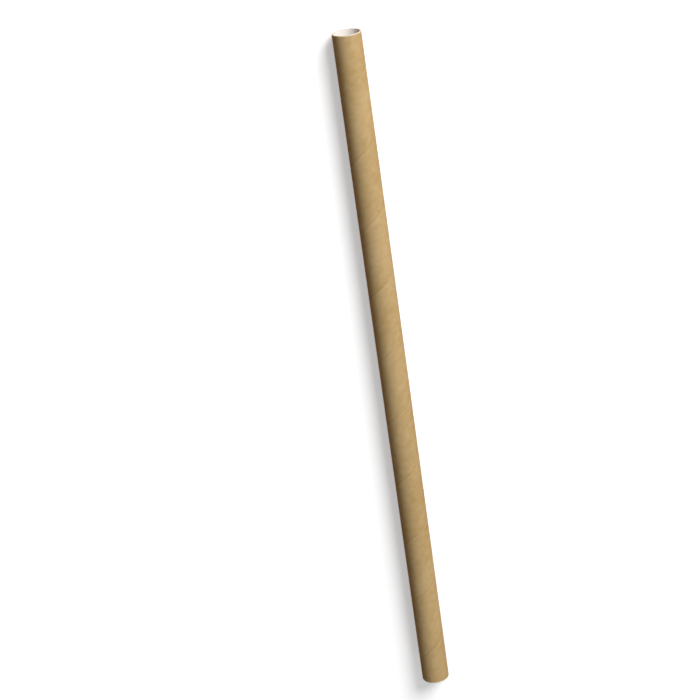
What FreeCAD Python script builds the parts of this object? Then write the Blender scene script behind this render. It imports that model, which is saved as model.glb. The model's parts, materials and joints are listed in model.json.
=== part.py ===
import FreeCAD, Part
import math
import os

# A straight paper drinking straw, bare, lying on its side as it comes to rest.
# Two strips of paper are wound into a tube one over the other and glued: a white one
# inside and a brown kraft one outside. The edges of each strip meet in a tight butt joint,
# which climbs the tube as a right-handed helix and shows as a fine groove: outside on the
# brown paper, and in the bore on the white one. A wound tube is never quite round, so it
# comes to rest on a faint flat rather than on a sharp line.
# Millimetres. The tube's axis runs along Y, the middle of its length is at Y 0, and the
# faint flat is at Z 0.

straw_diameter = 8.0         # outside, over the brown paper
straw_length = 200.0         # from one cut end to the other
kraft_thickness = 0.15       # brown paper, outside
liner_thickness = 0.25       # white paper, inside
glue_line = 0.02             # dry glue between the two papers, left open
strip_width = 15.4           # brown strip, from edge to edge, square to its edges
seam_width = 0.10            # groove where a strip's edges meet, square to the seam
seam_depth = 0.06            # of that groove
first_seam = 13.3            # from the +Y end to the brown seam, along the top of the straw
liner_seam_share = 0.5       # how far the white seam lags the brown one, in shares of a turn
rest_flat = 1.6              # width of the faint flat, about 0.08 deep, that the straw lies on

# What follows from the sizes above.
turn = 2 * math.pi
kraft_radius = straw_diameter / 2
kraft_back_radius = kraft_radius - kraft_thickness
liner_back_radius = kraft_back_radius - glue_line
bore_radius = liner_back_radius - liner_thickness
wind_angle = math.asin(strip_width / (turn * kraft_radius))
lead = turn * kraft_radius * math.tan(wind_angle)
kraft_seam = straw_length - first_seam
liner_seam = kraft_seam - liner_seam_share * lead
axis_height = math.sqrt(kraft_radius ** 2 - (rest_flat / 2) ** 2)


def trim(outline, level, side):
    """The part of an outline of (angle, height) points above (side 1) or below (-1) a level."""
    kept = []
    for start, end in zip(outline, outline[1:] + outline[:1]):
        inside = side * (start[1] - level) >= 0
        if inside:
            kept.append(start)
        if inside != (side * (end[1] - level) >= 0):
            share = (level - start[1]) / (end[1] - start[1])
            kept.append((start[0] + share * (end[0] - start[0]), level))
    return kept


def winding_band(height, width):
    """A band that winds up the tube from a height on its top line, unrolled: one outline of
    (angle, height) points for each turn, trimmed at the cut ends."""
    turns_below = math.ceil((height + width) / lead) + 1
    turns_above = math.ceil((straw_length - height) / lead)
    outlines = []
    for number in range(-turns_below, turns_above + 1):
        low = height + number * lead
        high = low + width
        outline = trim([(0, low), (turn, low + lead), (turn, high + lead), (0, high)], 0, 1)
        if outline:
            outline = trim(outline, straw_length, -1)
        if outline:
            outlines.append(outline)
    return outlines


def round_wall(radius):
    wall = Part.Cylinder()
    wall.Radius = radius
    return wall


def drawn_edge(wall, start, end):
    """An edge on a round wall between two (angle, height) points: a slanting one is a helix."""
    ends = [FreeCAD.Base.Vector2d(*point) for point in (start, end)]
    return Part.Geom2d.Line2dSegment(*ends).toShape(wall)


def sides_of(outline):
    return list(zip(outline, outline[1:] + outline[:1]))


def band_face(wall, outline):
    """The face that an outline encloses on a round wall."""
    edges = [drawn_edge(wall, start, end) for start, end in sides_of(outline)]
    return Part.Face(wall, Part.Wire(Part.__sortEdges__(edges)))


def groove_sides(wall, floor, paper):
    """The winding faces that step from the paper's surface down to the groove's floor."""
    same_way = 1
    faces = []
    for outline in paper:
        for start, end in sides_of(outline):
            # level sides are at the cut ends, and upright ones part a turn from the next
            if start[0] != end[0] and start[1] != end[1]:
                edges = [drawn_edge(surface, start, end) for surface in (wall, floor)]
                faces.append(Part.makeRuledSurface(*edges, same_way))
    return faces


def cut_end(level, wall, floor, paper, groove, back_radius):
    """The flat ring at a cut end, notched by the groove."""
    edges = []
    for surface, outlines in ((wall, paper), (floor, groove)):
        for outline in outlines:
            for start, end in sides_of(outline):
                if start[1] == end[1] == level:
                    edges.append(drawn_edge(surface, start, end))
    corners = {point for outline in groove for point in outline if point[1] == level}
    for corner in corners:
        # at angle 0 and a full turn an outline only goes on in the next one
        if 0 < corner[0] < turn:
            edges.append(Part.makeLine(wall.value(*corner), floor.value(*corner)))
    front_rim = Part.Wire(Part.__sortEdges__(edges))
    back_rim = Part.Wire(Part.makeCircle(back_radius, FreeCAD.Vector(0, 0, level)))
    return Part.makeFace([front_rim, back_rim], "Part::FaceMakerBullseye")


def wound_ply(front_radius, back_radius, seam_height):
    """A strip of paper wound into an upright tube. Its front has the seam's groove, and its
    plain back is glued; the front is outside where its radius is the larger."""
    inward = 1 if front_radius > back_radius else -1
    wall = round_wall(front_radius)
    floor = round_wall(front_radius - inward * seam_depth)
    slope = math.atan(lead / (turn * front_radius))
    seam_rise = seam_width / math.cos(slope)
    paper = winding_band(seam_height + seam_rise / 2, lead - seam_rise)
    groove = winding_band(seam_height - seam_rise / 2, seam_rise)
    faces = [band_face(wall, outline) for outline in paper]
    faces += [band_face(floor, outline) for outline in groove]
    faces += groove_sides(wall, floor, paper)
    faces.append(Part.makeCylinder(back_radius, straw_length).Faces[0])
    faces += [cut_end(level, wall, floor, paper, groove, back_radius)
              for level in (0, straw_length)]
    ply = Part.makeCompound(faces)
    ply.sewShape()
    return Part.Solid(ply.Shells[0])


def rested(tube):
    """An upright tube with the faint flat, which is opposite its angle 0."""
    side = straw_diameter
    below_flat = Part.makeBox(side, side, straw_length)
    below_flat.translate(FreeCAD.Vector(-axis_height - side, -side / 2, 0))
    return tube.cut(below_flat).Solids[0]


def laid_down(tube):
    """The upright tube laid along Y, with its angle 0 on top and its faint flat at Z 0."""
    top = FreeCAD.Vector(0, 0, 1)
    right = FreeCAD.Vector(1, 0, 0)
    along = FreeCAD.Vector(0, 1, 0)
    turned = FreeCAD.Rotation(top, right, along, "ZXY")
    tube.Placement = FreeCAD.Placement(
        FreeCAD.Vector(0, -straw_length / 2, axis_height), turned)
    return tube


pieces = {
    "outer_kraft_ply": rested(wound_ply(kraft_radius, kraft_back_radius, kraft_seam)),
    "inner_white_ply": wound_ply(bore_radius, liner_back_radius, liner_seam),
}

os.makedirs("parts", exist_ok=True)
for node, tube in pieces.items():
    laid_down(tube).exportStep("parts/" + node + ".step")
    print(node, "volume", round(tube.Volume, 3), "valid", tube.isValid())
print("lead", round(lead, 3), "wind angle", round(math.degrees(wind_angle), 2),
      "bore", round(2 * bore_radius, 3))
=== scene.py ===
import json
import math
import bmesh
import bpy
import numpy as np
from mathutils import Matrix, Vector, noise


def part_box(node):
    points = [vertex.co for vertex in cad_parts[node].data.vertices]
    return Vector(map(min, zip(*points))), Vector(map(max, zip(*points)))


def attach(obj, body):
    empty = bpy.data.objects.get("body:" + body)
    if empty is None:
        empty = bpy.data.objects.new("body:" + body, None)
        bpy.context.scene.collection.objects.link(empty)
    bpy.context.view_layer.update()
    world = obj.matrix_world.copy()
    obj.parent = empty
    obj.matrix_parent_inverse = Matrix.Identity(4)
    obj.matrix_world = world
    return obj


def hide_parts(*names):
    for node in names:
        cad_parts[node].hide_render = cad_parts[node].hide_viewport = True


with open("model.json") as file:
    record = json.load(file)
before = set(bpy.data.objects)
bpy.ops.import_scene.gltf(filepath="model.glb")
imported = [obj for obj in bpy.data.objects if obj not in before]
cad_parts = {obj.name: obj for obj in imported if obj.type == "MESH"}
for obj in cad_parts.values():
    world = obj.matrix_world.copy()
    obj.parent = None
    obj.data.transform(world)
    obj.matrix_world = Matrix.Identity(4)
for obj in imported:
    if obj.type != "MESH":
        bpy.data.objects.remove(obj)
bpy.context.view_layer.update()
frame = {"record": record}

scene = bpy.context.scene
scene.view_settings.view_transform = "Standard"
print("stage: frame loaded")

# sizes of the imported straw, in millimetres
mounts = {mount["name"]: mount for mount in frame["record"]["mounts"]}
straw = {
    "outsideRadius": mounts["outside"]["dims"]["r_mm"],
    "boreRadius": mounts["bore"]["dims"]["r_mm"],
    "glueRadius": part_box("inner_white_ply")[1][0] * 1000,  # where the two papers meet
    "glueGap": 0.002,        # from there to each paper's back
    "length": mounts["outside"]["dims"]["length_mm"],
    "axisHeight": mounts["outside"]["pos_m"][2] * 1000,    # over the floor that it lies on
    "stripWidth": 15.4,      # kraft strip, square to its edges
    "kraftSeamAt": 86.7,     # along the axis, where the brown seam crosses the top line
}
fullTurn = 2 * math.pi
straw["lead"] = fullTurn * straw["outsideRadius"] * math.tan(
    math.asin(straw["stripWidth"] / (fullTurn * straw["outsideRadius"])))
mm = 0.001


def linear(code):
    # sRGB hex to the linear colour that shaders take, by the sRGB curve
    shares = [int(code[k:k + 2], 16) / 255 for k in (1, 3, 5)]
    return [s / 12.92 if s <= 0.04045 else ((s + 0.055) / 1.055) ** 2.4 for s in shares] + [1.0]


def addNode(tree, kind, settings=None, links=None):
    # settings are attributes in lower case or sockets; links are socket to output.
    # It gives the new node's first output
    node = tree.nodes.new("ShaderNode" + kind)
    for name, value in (settings or {}).items():
        if isinstance(name, str) and name[0].islower():
            setattr(node, name, value)
        else:
            node.inputs[name].default_value = value
    for name, output in (links or {}).items():
        tree.links.new(output, node.inputs[name])
    return node.outputs[0] if node.outputs else node


def newMaterial(name):
    material = bpy.data.materials.new(name)
    material.use_nodes = True
    tree = material.node_tree
    tree.nodes.clear()
    return material, tree


def paperFace(strip):
    # one strip's face, in millimetres along the strip and across it: its colour clouds and
    # drifts, its fibres lie along it, and painted shade and painted highlight lie beside the seam
    material, tree = newMaterial(strip["faceName"])
    place = addNode(tree, "UVMap", {"uv_map": "strip"})
    tones = []
    for pattern in (strip["cloud"], strip["drift"], strip["fibre"]):
        along, across = pattern["size"]
        scaled = addNode(tree, "VectorMath", {"operation": "MULTIPLY",
                                              1: (1 / along, 1 / across, 1.0)}, {0: place})
        grain = addNode(tree, "TexNoise", {"Scale": 1.0, "Detail": pattern["detail"]},
                        {"Vector": scaled})
        # a noise stays mostly between 0.25 and 0.75
        tones.append(addNode(tree, "MapRange", {"clamp": False, "From Min": 0.25, "From Max": 0.75,
                                                "To Min": -pattern["depth"],
                                                "To Max": pattern["depth"]}, {"Value": grain}))
    clouds, fibres = tones[0], tones[2]

    # the painted shade and painted highlight beside the seam come and go along it: strong here,
    # hardly there further on
    seamPaint = strip["seamShadeAndHighlight"]
    along, across = seamPaint["patch"]
    scaled = addNode(tree, "VectorMath", {"operation": "MULTIPLY",
                                          1: (1 / along, 1 / across, 1.0)}, {0: place})
    patches = addNode(tree, "TexNoise", {"Scale": 1.0, "Detail": 4.0}, {"Vector": scaled})
    share = addNode(tree, "MapRange", {"From Min": 0.32, "From Max": 0.68,
                                       "To Min": seamPaint["weakest"], "To Max": seamPaint["strongest"]},
                    {"Value": patches})
    fromSeam = addNode(tree, "SeparateXYZ", links={0: place}).node.outputs["Y"]
    toSeam = addNode(tree, "Math", {"operation": "SUBTRACT", 0: strip["width"]}, {1: fromSeam})
    # painted shade on each side of the seam, which becomes a painted highlight where its depth is
    # under 0
    for distance, (reach, depth) in ((fromSeam, seamPaint["above"]), (toSeam, seamPaint["below"])):
        paintedSeamTone = addNode(tree, "MapRange", {"interpolation_type": "SMOOTHSTEP",
                                            "From Min": reach * seamPaint["plainShare"],
                                            "From Max": reach, "To Min": -depth, "To Max": 0.0},
                         {"Value": distance})
        tones.append(addNode(tree, "Math", {"operation": "MULTIPLY"}, {0: paintedSeamTone, 1: share}))

    if "shive" in strip:
        # a few slivers of wood that the pulping left, each a short dark stroke
        shive = strip["shive"]
        along, across = shive["apart"]
        scaled = addNode(tree, "VectorMath", {"operation": "MULTIPLY",
                                              1: (1 / along, 1 / across, 1.0)}, {0: place})
        cells = addNode(tree, "TexVoronoi", {"Scale": 1.0}, {"Vector": scaled}).node
        chance = addNode(tree, "SeparateXYZ", links={0: cells.outputs["Color"]})
        chosen = addNode(tree, "Math", {"operation": "GREATER_THAN", 1: shive["missing"]},
                         {0: chance})
        sliver = addNode(tree, "MapRange", {"interpolation_type": "SMOOTHSTEP",
                                            "From Min": shive["core"], "From Max": shive["edge"],
                                            "To Min": -shive["depth"], "To Max": 0.0},
                         {"Value": cells.outputs["Distance"]})
        tones.append(addNode(tree, "Math", {"operation": "MULTIPLY"}, {0: sliver, 1: chosen}))

    # where the paper is denser it is darker and also browner, so blue falls the most
    tone = tones[0]
    for other in tones[1:]:
        tone = addNode(tree, "Math", {"operation": "ADD"}, {0: tone, 1: other})
    browner = addNode(tree, "VectorMath", {"operation": "SCALE", 0: strip["browning"]},
                      {"Scale": tone})
    base = linear(strip["colour"])[:3]
    colour = addNode(tree, "VectorMath", {"operation": "MULTIPLY_ADD", 1: base, 2: base},
                     {0: browner})
    height = addNode(tree, "Math", {"operation": "MULTIPLY_ADD", 1: strip["fibreRelief"]},
                     {0: fibres, 2: clouds})
    bump = addNode(tree, "Bump", {"Strength": strip["bump"], "Distance": strip["bumpDepth"] * mm},
                   {"Height": height})
    shader = addNode(tree, "BsdfPrincipled", {"Roughness": strip["roughness"], "IOR": strip["ior"]},
                     {"Base Color": colour, "Normal": bump})
    addNode(tree, "OutputMaterial", links={"Surface": shader})
    return material


# where the knife cut both papers: paler and rougher than the face, with the fibres' ends showing
cutEdge = {
    "fibreEnd": (5 / 11, 1 / 9),   # round the straw and through its wall, in millimetres
    "shade": (0.86, 1.06), "roughness": 0.9, "bump": 0.5, "bumpDepth": 0.04,
}


def cutPaper(strip):
    material, tree = newMaterial(strip["cutName"])
    place = addNode(tree, "UVMap", {"uv_map": "strip"})
    around, through = cutEdge["fibreEnd"]
    scaled = addNode(tree, "VectorMath", {"operation": "MULTIPLY",
                                          1: (1 / around, 1 / through, 1.0)}, {0: place})
    fibreEnds = addNode(tree, "TexNoise", {"Scale": 1.0, "Detail": 4.0}, {"Vector": scaled})
    darkest, brightest = cutEdge["shade"]
    shade = addNode(tree, "MapRange", {"From Min": 0.3, "From Max": 0.7,
                                       "To Min": darkest, "To Max": brightest},
                    {"Value": fibreEnds})
    colour = addNode(tree, "VectorMath", {"operation": "SCALE", 0: linear(strip["cutColour"])[:3]},
                     {"Scale": shade})
    bump = addNode(tree, "Bump", {"Strength": cutEdge["bump"],
                                  "Distance": cutEdge["bumpDepth"] * mm}, {"Height": fibreEnds})
    shader = addNode(tree, "BsdfPrincipled", {"Roughness": cutEdge["roughness"],
                                              "IOR": strip["ior"]},
                     {"Base Color": colour, "Normal": bump})
    addNode(tree, "OutputMaterial", links={"Surface": shader})
    return material


# how both strips are meshed, in millimetres
meshing = {
    # rows of faces lie close together at the strip's edges, where the seam is
    "rowsAtSeam": [0, 0.02, 0.05, 0.09, 0.14, 0.21, 0.3, 0.42, 0.58, 0.8, 1.1, 1.5],
    "rowsBetween": 16,
    "ringsAtEnd": (0.03, 0.07, 0.2, 0.4, 1.0),
}


def rowPlaces(width):
    near = meshing["rowsAtSeam"]
    middle = list(np.linspace(near[-1], width - near[-1], meshing["rowsBetween"] + 1))[1:-1]
    return near + middle + [width - place for place in reversed(near)]


def windStrip(name, strip):
    # a strip wound into a tube. Columns go round the tube, rows run across the strip, and
    # the last row of a column is the first row of the column one turn on
    face, back = strip["faceRadius"], strip["backRadius"]
    lead, half = straw["lead"], straw["length"] / 2
    slope = math.atan(lead / (fullTurn * face))
    width = lead * math.cos(slope)
    rows = rowPlaces(width)
    last = len(rows) - 1
    around = strip["columns"]
    first = math.floor((-half - lead - strip["seamAt"]) / lead * around) - 2
    final = math.ceil((half - strip["seamAt"]) / lead * around) + 2
    mesh = bmesh.new()
    stripMap = mesh.loops.layers.uv.new("strip")
    grid = {}

    def corner(column, row):
        if row == last:
            column, row = column + around, 0
        if (column, row) not in grid:
            angle = column * fullTurn / around
            along = strip["seamAt"] + lead * column / around + rows[row] / math.cos(slope)
            grid[column, row] = mesh.verts.new((math.sin(angle) * face, along,
                                                math.cos(angle) * face))
        return grid[column, row]

    def onStrip(column, row):
        # distance along the strip and across it
        sideways = face * column * fullTurn / around
        up = lead * column / around + rows[row] / math.cos(slope)
        return sideways * math.cos(slope) + up * math.sin(slope), rows[row]

    for column in range(first, final):
        for row in range(last):
            places = [(column, row), (column, row + 1), (column + 1, row + 1), (column + 1, row)]
            panel = mesh.faces.new([corner(*place) for place in places])
            for loop, place in zip(panel.loops, places):
                loop[stripMap].uv = onStrip(*place)

    def sliceAt(level, discardAbove=False, discardBelow=False):
        everything = mesh.verts[:] + mesh.edges[:] + mesh.faces[:]
        bmesh.ops.bisect_plane(mesh, geom=everything, dist=1e-6, plane_co=(0, level, 0),
                               plane_no=(0, 1, 0), clear_outer=discardAbove,
                               clear_inner=discardBelow)

    sliceAt(half, discardAbove=True)
    sliceAt(-half, discardBelow=True)
    for inset in meshing["ringsAtEnd"]:
        sliceAt(half - inset)
        sliceAt(inset - half)

    # the glued side, which only closes the tube
    rings = []
    for level in (-half, 0, half):
        rings.append([mesh.verts.new((math.sin(k * fullTurn / around) * back, level,
                                      math.cos(k * fullTurn / around) * back))
                      for k in range(around)])
    for low, high in zip(rings, rings[1:]):
        for k in range(around):
            mesh.faces.new([low[k], low[(k + 1) % around], high[(k + 1) % around], high[k]])
    for level in (-half, half):
        rims = [edge for edge in mesh.edges if edge.is_boundary
                and all(abs(vert.co.y - level) < 1e-4 for vert in edge.verts)]
        for panel in bmesh.ops.bridge_loops(mesh, edges=rims)["faces"]:
            panel.material_index = 1
            for loop in panel.loops:
                x, _, z = loop.vert.co
                loop[stripMap].uv = (math.atan2(x, z) * face, math.hypot(x, z))

    # the knife frays the very end of the face, which is then as pale as the cut
    for panel in mesh.faces:
        panel.smooth = panel.material_index == 0
        if half - abs(panel.calc_center_median().y) < strip["frayed"]:
            panel.material_index = 1

    shapeFace(mesh, strip, width, slope)
    bmesh.ops.recalc_face_normals(mesh, faces=mesh.faces[:])
    for vert in mesh.verts:
        x, y, z = vert.co
        vert.co = Vector((x, y, max(z + straw["axisHeight"], 0.0))) * mm
    data = bpy.data.meshes.new(name)
    mesh.to_mesh(data)
    mesh.free()
    piece = bpy.data.objects.new(name, data)
    scene.collection.objects.link(piece)
    return piece, width


# what winding and cutting do to both papers, in millimetres
wear = {
    "faceDepth": 0.12,         # what is further from the face is the glued side and stays plain
    "leastSink": 0.002,        # keeps the paper within the straw's outline
    "waveSpan": 1 / 0.16,
    "stepSpan": 1 / 0.23, "stepChange": 0.9,            # the step is high here and low there
    "stepPlace": Vector((7.0, 1.0, 3.0)),               # where in the noise the step starts
    "roundedOver": 0.07, "roundedBy": 0.025,            # the corner at a cut end
    "raggedOver": 1.0, "raggedScales": (1.7, 6.0), "raggedFlatness": 0.01,
}


def shapeFace(mesh, strip, width, slope):
    # the step at the seam, where one edge of the strip stands a little proud and the next is
    # pressed in, the paper's slight waves, and the worn cut ends
    face, half, lead = strip["faceRadius"], straw["length"] / 2, straw["lead"]
    outward = 1 if face > strip["backRadius"] else -1
    coarse, fine = wear["raggedScales"]
    for vert in mesh.verts:
        x, y, z = vert.co
        radius = math.hypot(x, z)
        if abs(radius - face) > wear["faceDepth"]:
            continue
        place = Vector((x, y, z))
        lift = strip["wave"] * noise.noise(place / wear["waveSpan"]) - strip["allowance"]
        uneven = 1 + wear["stepChange"] * noise.noise(place / wear["stepSpan"] + wear["stepPlace"])
        angle = math.atan2(x, z)
        rise = (y - strip["seamAt"] - lead * angle / fullTurn) % lead
        above = rise * math.cos(slope)
        if above < width / 2:
            lift -= strip["sunk"] * uneven * math.exp(-(above / strip["sunkReach"]) ** 2)
        else:
            below = width - above
            risen = min(1.0, below / strip["stepWidth"]) * (strip["proud"] + strip["sunk"])
            lift += uneven * (risen - strip["sunk"]) * math.exp(
                -(below / strip["proudReach"]) ** 2)
        fromEnd = half - abs(y)
        if fromEnd < wear["roundedOver"]:
            lift -= wear["roundedBy"] * (1 - fromEnd / wear["roundedOver"]) ** 2
        ragged = 0.0
        if fromEnd < wear["raggedOver"]:
            rim = Vector((x, z, y * wear["raggedFlatness"]))
            torn = noise.noise(rim * coarse) + 0.5 * noise.noise(rim * fine)
            ragged = strip["ragged"] * max(0.0, 0.5 + 0.5 * torn) * (
                1 - fromEnd / wear["raggedOver"]) ** 2
        share = (radius + outward * min(lift, -wear["leastSink"])) / radius
        vert.co = (x * share, y - math.copysign(ragged, y), z * share)


# brown strip, outside: unbleached kraft paper, calendered. The rollers press it smooth but not
# glossy, and the unbleached pulp gives the eye a warm, cloudy brown with fibres along the strip.
# The knife leaves a paler edge, where the fibres are cut across. A fibre's IOR is 1.5, but much
# air lies between the fibres, so the sheet hardly shines and 1.15 fits it. They are 0.03 mm
# wide, too fine to show, so they are drawn 0.22 mm wide. All sizes are in millimetres
kraftStrip = {
    "faceRadius": straw["outsideRadius"], "backRadius": straw["glueRadius"] + straw["glueGap"],
    "seamAt": straw["kraftSeamAt"], "columns": 96,
    "allowance": 0.03,                               # how deep the face lies under the outline
    "proud": 0.02, "proudReach": 0.8,                # the edge below the seam
    "sunk": 0.02, "sunkReach": 0.4,                  # the edge above it
    "stepWidth": 0.16, "wave": 0.012, "ragged": 0.05, "frayed": 0.2,
    "faceName": "calenderedKraftPaper", "cutName": "knifeCutKraftPaper",
    "colour": "#C8AA78", "cutColour": "#F0E4CB", "roughness": 0.75, "ior": 1.15,
    "bump": 0.4, "bumpDepth": 0.05, "fibreRelief": 1.5,
    "browning": (1.0, 1.3, 2.1),                     # how much red, green and blue fall
    "cloud": {"size": (2.2, 1.6), "depth": 0.078, "detail": 4.0},
    "drift": {"size": (18.0, 12.0), "depth": 0.085, "detail": 1.0},
    "fibre": {"size": (1.6, 0.22), "depth": 0.045, "detail": 3.0},
    # reach and depth of the painted shade on each side of the seam, where a depth under 0 is a
    # painted highlight
    "seamShadeAndHighlight": {"above": (0.7, 0.075), "below": (0.9, -0.06), "plainShare": 0.25,
                 "patch": (10 / 3, 50.0), "weakest": 0.35, "strongest": 1.3},
    "shive": {"apart": (10.0, 3.57), "missing": 0.6, "core": 0.015, "edge": 0.05, "depth": 0.4},
}
# white strip, inside: bleached wood-free paper, uncoated. With no filler rolled into its surface
# it is creamy white and quite without gloss, and its fibres hardly show
whiteStrip = {
    "faceRadius": straw["boreRadius"], "backRadius": straw["glueRadius"] - straw["glueGap"],
    "seamAt": straw["kraftSeamAt"] - straw["lead"] / 2, "columns": 72,
    "allowance": 0.0, "proud": 0.0, "proudReach": 0.8, "sunk": 0.03, "sunkReach": 0.4,
    "stepWidth": 0.07, "wave": 0.01, "ragged": 0.05, "frayed": 0.07,
    "faceName": "uncoatedBleachedPaper", "cutName": "knifeCutBleachedPaper",
    "colour": "#F2EEE7", "cutColour": "#F2EADB", "roughness": 0.85, "ior": 1.3,
    "bump": 0.3, "bumpDepth": 0.05, "fibreRelief": 1.5,
    "browning": (1.0, 1.0, 1.0),
    "cloud": {"size": (2.0, 2.0), "depth": 0.02, "detail": 4.0},
    "drift": {"size": (12.0, 12.0), "depth": 0.01, "detail": 1.0},
    "fibre": {"size": (1.2, 0.25), "depth": 0.015, "detail": 3.0},
    # painted shade in and beside the seam's groove, on both sides of it
    "seamShadeAndHighlight": {"above": (0.25, 0.10), "below": (0.25, 0.10), "plainShare": 0.25,
                 "patch": (10 / 3, 50.0), "weakest": 0.35, "strongest": 1.3},
}

for name, node, slot, strip in (("kraftStrip", "outer_kraft_ply", "kraft_paper", kraftStrip),
                                ("whiteStrip", "inner_white_ply", "white_paper", whiteStrip)):
    piece, strip["width"] = windStrip(name, strip)
    piece.data.materials.append(paperFace(strip))
    piece.data.materials.append(cutPaper(strip))
    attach(piece, "root")
    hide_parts(node)
    print("stage:", name, "wound,", len(piece.data.polygons), "faces")

# floor and light
studio = {
    "floorSize": 2.4,
    "floorShown": "#FFFFFF",     # what the camera sees
    "floorFelt": "#98622A",      # what the straw's underside gets back
    "floorGlow": 0.4,            # keeps the floor white and its shadow light
    "glowFull": (0.2, 0.5),      # metres from the straw between which the glow grows to 1
    "skyStrength": 0.08,
    # each lamp: where from, how far, how wide, how strong
    "lamps": {"softLamp": ((0.61, 0.9, 0.73), 1.35, 0.8, 20.8),
              "fillLamp": ((0.1, -1.0, 0.3), 3.0, 1.5, 26.0)},
    "white": (1.0, 1.0, 1.0, 1.0),
}
floorMesh = bmesh.new()
bmesh.ops.create_grid(floorMesh, x_segments=4, y_segments=4, size=studio["floorSize"] / 2)
floorData = bpy.data.meshes.new("floor")
floorMesh.to_mesh(floorData)
floorMesh.free()
floor = bpy.data.objects.new("floor", floorData)
scene.collection.objects.link(floor)


def seenShare(tree):
    # 1 for what the camera sees, also in a mirror or through glass, and 0 for what only lights
    path = addNode(tree, "LightPath").node.outputs
    direct = addNode(tree, "Math", {"operation": "MAXIMUM"},
                     {0: path["Is Camera Ray"], 1: path["Is Glossy Ray"]})
    return addNode(tree, "Math", {"operation": "MAXIMUM"},
                   {0: direct, 1: path["Is Transmission Ray"]})


# matt painted board, which the straw lies on: an even white to the eye, with a soft shadow.
# Its glow grows away from the straw, so that its edges melt into the white round it
floorMaterial, tree = newMaterial("paintedBoard")
shown = addNode(tree, "BsdfDiffuse", {"Color": linear(studio["floorShown"])})
felt = addNode(tree, "BsdfDiffuse", {"Color": linear(studio["floorFelt"])})
onFloor = addNode(tree, "TexCoord").node.outputs["Object"]
away = addNode(tree, "VectorMath", {"operation": "LENGTH"}, {0: onFloor}).node.outputs["Value"]
growsFrom, growsTo = studio["glowFull"]
glowing = addNode(tree, "MapRange", {"From Min": growsFrom, "From Max": growsTo,
                                     "To Min": studio["floorGlow"], "To Max": 1.0}, {"Value": away})
glow = addNode(tree, "Emission", {"Color": studio["white"]}, {"Strength": glowing})
lit = addNode(tree, "AddShader", links={0: shown, 1: glow})
chosen = addNode(tree, "MixShader", links={0: seenShare(tree), 1: felt, 2: lit})
addNode(tree, "OutputMaterial", links={"Surface": chosen})
floor.data.materials.append(floorMaterial)

sky = bpy.data.worlds.new("sky")
sky.use_nodes = True
tree = sky.node_tree
tree.nodes.clear()
strength = addNode(tree, "MapRange", {"To Min": studio["skyStrength"], "To Max": 1.0},
                   {"Value": seenShare(tree)})
background = addNode(tree, "Background", {"Color": studio["white"]}, {"Strength": strength})
addNode(tree, "OutputWorld", links={"Surface": background})
scene.world = sky

for name, (direction, far, size, power) in studio["lamps"].items():
    lamp = bpy.data.lights.new(name, "AREA")
    lamp.shape = "DISK"
    lamp.size = size
    lamp.energy = power
    lampObject = bpy.data.objects.new(name, lamp)
    lampObject.location = Vector(direction).normalized() * far
    lampObject.rotation_euler = lampObject.location.to_track_quat("Z", "Y").to_euler()
    scene.collection.objects.link(lampObject)
print("stage: floor and light")

# the camera stands where the straw's two ends fall on their places in the picture
view = {
    "from": Vector((0.0, 0.2262, 0.522)), "nearest": 0.2, "furthest": 3.0,
    "lens": 102.86, "sensor": 36.0, "picture": 700,
    "topEnd": (346.3, 32.1), "bottomEnd": (435.7, 675.9),   # pixels, from the top left
    "halvings": 40,          # of the distance's range
}
cameraData = bpy.data.cameras.new("camera")
cameraData.lens = view["lens"]
cameraData.sensor_width = view["sensor"]
camera = bpy.data.objects.new("camera", cameraData)
scene.collection.objects.link(camera)
scene.camera = camera


def throughPixel(pixel):
    # the ray through a pixel, as the camera sees it
    focal = view["lens"] / view["sensor"] * view["picture"]
    middle = view["picture"] / 2
    return Vector(((pixel[0] - middle) / focal, (middle - pixel[1]) / focal, -1)).normalized()


def placedAt(distance):
    # the camera's place that far from the middle of the straw, and its rays to the two ends
    middle = Vector((0, 0, straw["axisHeight"] * mm))
    place = middle + view["from"].normalized() * distance
    half = Vector((0, straw["length"] / 2 * mm, 0))
    return place, (middle + half - place).normalized(), (middle - half - place).normalized()


def axesOf(first, second):
    # three square axes that two directions set, sharing any error between the two
    along = (first + second).normalized()
    square = first.cross(second).normalized()
    return Matrix((along, square, along.cross(square))).transposed()


pixelRays = throughPixel(view["topEnd"]), throughPixel(view["bottomEnd"])
spanned = pixelRays[0].angle(pixelRays[1])
nearest, furthest = view["nearest"], view["furthest"]
for halving in range(view["halvings"]):
    distance = (nearest + furthest) / 2
    place, toTop, toBottom = placedAt(distance)
    if toTop.angle(toBottom) > spanned:
        nearest = distance
    else:
        furthest = distance
camera.matrix_world = Matrix.Translation(place) @ (
    axesOf(toTop, toBottom) @ axesOf(*pixelRays).transposed()).to_4x4()
print("stage: camera", round(distance, 4), "m from the straw")
